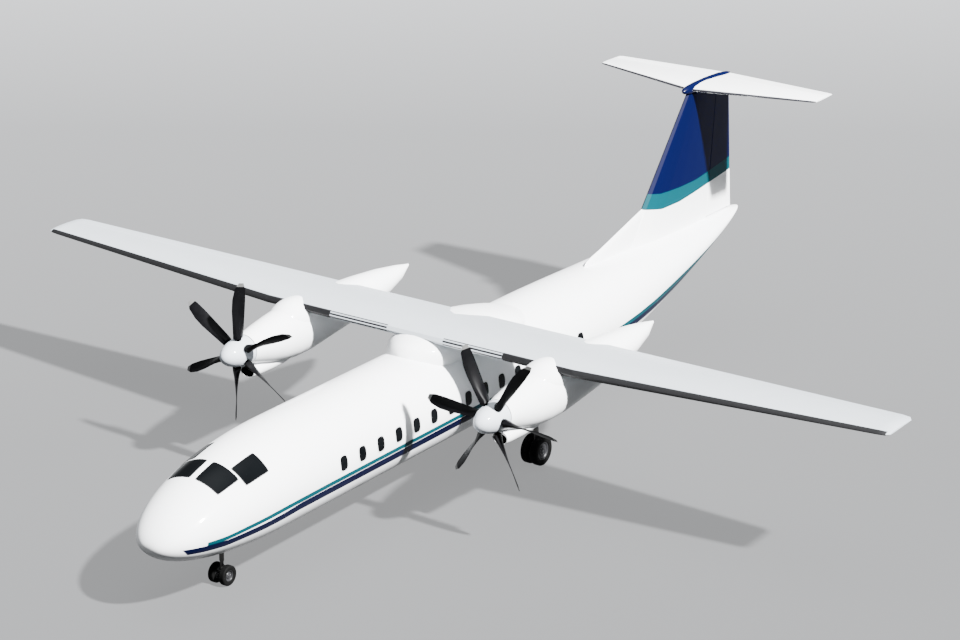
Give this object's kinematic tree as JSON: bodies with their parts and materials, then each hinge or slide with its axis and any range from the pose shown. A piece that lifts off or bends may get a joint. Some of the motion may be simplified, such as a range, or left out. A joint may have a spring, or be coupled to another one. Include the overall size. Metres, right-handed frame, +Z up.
{
  "type": "twin turboprop airliner",
  "caption": "High-wing regional airliner with two turboprop engines, six-blade propellers, a T-tail and fixed-down twin-wheel landing gear, parked.",
  "frame": {"origin": "centre of the aircraft's bounding box on the ground it is parked on", "axes": "+Y aft along the fuselage, nose towards -Y; +X towards the aircraft's left wing tip; +Z up"},
  "size_m": [27.05, 27.506, 7.725],
  "materials": {
    "white_paint": "clean gloss white paint",
    "grey_paint": "satin pale bluish grey paint",
    "fin_paint": "gloss navy over a teal band over white",
    "navy_paint": "gloss navy paint",
    "dark_glass": "near-black window pane",
    "blade_black": "near-black composite blade with pale tips",
    "spinner_paint": "satin pale grey-white paint",
    "gear_paint": "satin grey paint",
    "wheel_metal": "dark grey wheel rim",
    "bare_metal": "plain engine block",
    "tyre_rubber": "black aircraft tyre"
  },
  "bodies": {
    "airframe": {"radome": "white_paint", "cockpit_section": "white_paint", "cabin_section": "white_paint", "rear_fuselage": "white_paint", "tail_cone": "white_paint", "windshield_left": "dark_glass", "windshield_right": "dark_glass", "side_window_left": "dark_glass", "side_window_right": "dark_glass", "wing_center": "grey_paint", "wing_left": "grey_paint", "wing_right": "grey_paint", "wing_fairing": "white_paint", "nacelle_left": "white_paint", "nacelle_right": "white_paint", "engine_left": "bare_metal", "engine_right": "bare_metal", "intake_scoop_left": "white_paint", "intake_scoop_right": "white_paint", "fin": "fin_paint", "dorsal_fin": "white_paint", "tailplane": "white_paint", "tail_bullet": "navy_paint", "nose_gear_leg": "gear_paint", "gear_fairing_left": "white_paint", "gear_fairing_right": "white_paint", "main_gear_leg_left": "gear_paint", "main_gear_leg_right": "gear_paint"},
    "left_propeller": {"propeller_left": "blade_black", "spinner_left": "spinner_paint"},
    "right_propeller": {"propeller_right": "blade_black", "spinner_right": "spinner_paint"},
    "nose_steering": {"nose_gear_steering": "gear_paint"},
    "nose_wheel_pair": {"nose_wheels": "wheel_metal", "nose_tyre_left": "tyre_rubber", "nose_tyre_right": "tyre_rubber"},
    "left_wheel_pair": {"main_left_wheels": "wheel_metal", "main_left_tyre_outer": "tyre_rubber", "main_left_tyre_inner": "tyre_rubber"},
    "right_wheel_pair": {"main_right_wheels": "wheel_metal", "main_right_tyre_outer": "tyre_rubber", "main_right_tyre_inner": "tyre_rubber"},
    "rudder": {"rudder": "fin_paint"},
    "left_elevator": {"elevator_left": "white_paint"},
    "right_elevator": {"elevator_right": "white_paint"},
    "left_aileron": {"aileron_left": "grey_paint"},
    "right_aileron": {"aileron_right": "grey_paint"},
    "left_inner_flap": {"flap_inner_left": "grey_paint"},
    "left_outer_flap": {"flap_outer_left": "grey_paint"},
    "right_inner_flap": {"flap_inner_right": "grey_paint"},
    "right_outer_flap": {"flap_outer_right": "grey_paint"}
  },
  "joints": [
    {"name": "left_propeller_spin", "type": "hinge", "parent": "airframe", "child": "left_propeller", "pos_m": [4.065, -5.294, 3.423], "axis": [0, -1, 0], "continuous": true},
    {"name": "right_propeller_spin", "type": "hinge", "parent": "airframe", "child": "right_propeller", "pos_m": [-4.065, -5.294, 3.423], "axis": [0, -1, 0], "continuous": true},
    {"name": "nose_steer", "type": "hinge", "parent": "airframe", "child": "nose_steering", "pos_m": [0, -11.05, 0.45], "axis": [0, 0, 1], "range_deg": [-60, 60]},
    {"name": "nose_wheels_roll", "type": "hinge", "parent": "nose_steering", "child": "nose_wheel_pair", "pos_m": [0, -11.05, 0.262], "axis": [1, 0, 0], "continuous": true},
    {"name": "left_wheels_roll", "type": "hinge", "parent": "airframe", "child": "left_wheel_pair", "pos_m": [2.054, -0.214, 0.41], "axis": [1, 0, 0], "continuous": true},
    {"name": "right_wheels_roll", "type": "hinge", "parent": "airframe", "child": "right_wheel_pair", "pos_m": [-2.054, -0.214, 0.41], "axis": [1, 0, 0], "continuous": true},
    {"name": "rudder_turn", "type": "hinge", "parent": "airframe", "child": "rudder", "pos_m": [0, 11.98882, 5.4], "axis": [0, 0.1168, 0.9932], "range_deg": [-27, 27]},
    {"name": "left_elevator_turn", "type": "hinge", "parent": "airframe", "child": "left_elevator", "pos_m": [1.89, 12.37678, 7.565], "axis": [0.9993, 0.0367, 0], "range_deg": [-13, 23]},
    {"name": "right_elevator_turn", "type": "hinge", "parent": "airframe", "child": "right_elevator", "pos_m": [-1.89, 12.37678, 7.565], "axis": [0.9993, -0.0367, 0], "range_deg": [-13, 23]},
    {"name": "left_aileron_turn", "type": "hinge", "parent": "airframe", "child": "left_aileron", "pos_m": [10.915, -1.14098, 4.12125], "axis": [0.9998, -0.0079, 0.0176], "range_deg": [-14, 14]},
    {"name": "right_aileron_turn", "type": "hinge", "parent": "airframe", "child": "right_aileron", "pos_m": [-10.915, -1.14098, 4.12125], "axis": [0.9998, 0.0079, -0.0176], "range_deg": [-14, 14]},
    {"name": "left_inner_flap_turn", "type": "hinge", "parent": "airframe", "child": "left_inner_flap", "pos_m": [2.46, -1.0682, 4.01428], "axis": [-1, 0, 0], "range_deg": [0, 30]},
    {"name": "left_outer_flap_turn", "type": "hinge", "parent": "airframe", "child": "left_outer_flap", "pos_m": [6.965, -1.08716, 4.05068], "axis": [-0.9998, 0.0093, -0.0178], "range_deg": [0, 30]},
    {"name": "right_inner_flap_turn", "type": "hinge", "parent": "airframe", "child": "right_inner_flap", "pos_m": [-2.46, -1.0682, 4.01428], "axis": [-1, 0, 0], "range_deg": [0, 30]},
    {"name": "right_outer_flap_turn", "type": "hinge", "parent": "airframe", "child": "right_outer_flap", "pos_m": [-6.965, -1.08716, 4.05068], "axis": [-0.9998, -0.0093, 0.0178], "range_deg": [0, 30]}
  ],
  "couplings": [
    {"joint": "right_elevator_turn", "follows": "left_elevator_turn", "ratio": 1},
    {"joint": "right_aileron_turn", "follows": "left_aileron_turn", "ratio": -1},
    {"joint": "left_inner_flap_turn", "follows": "left_outer_flap_turn", "ratio": 1},
    {"joint": "right_inner_flap_turn", "follows": "left_outer_flap_turn", "ratio": 1},
    {"joint": "right_outer_flap_turn", "follows": "left_outer_flap_turn", "ratio": 1}
  ]
}
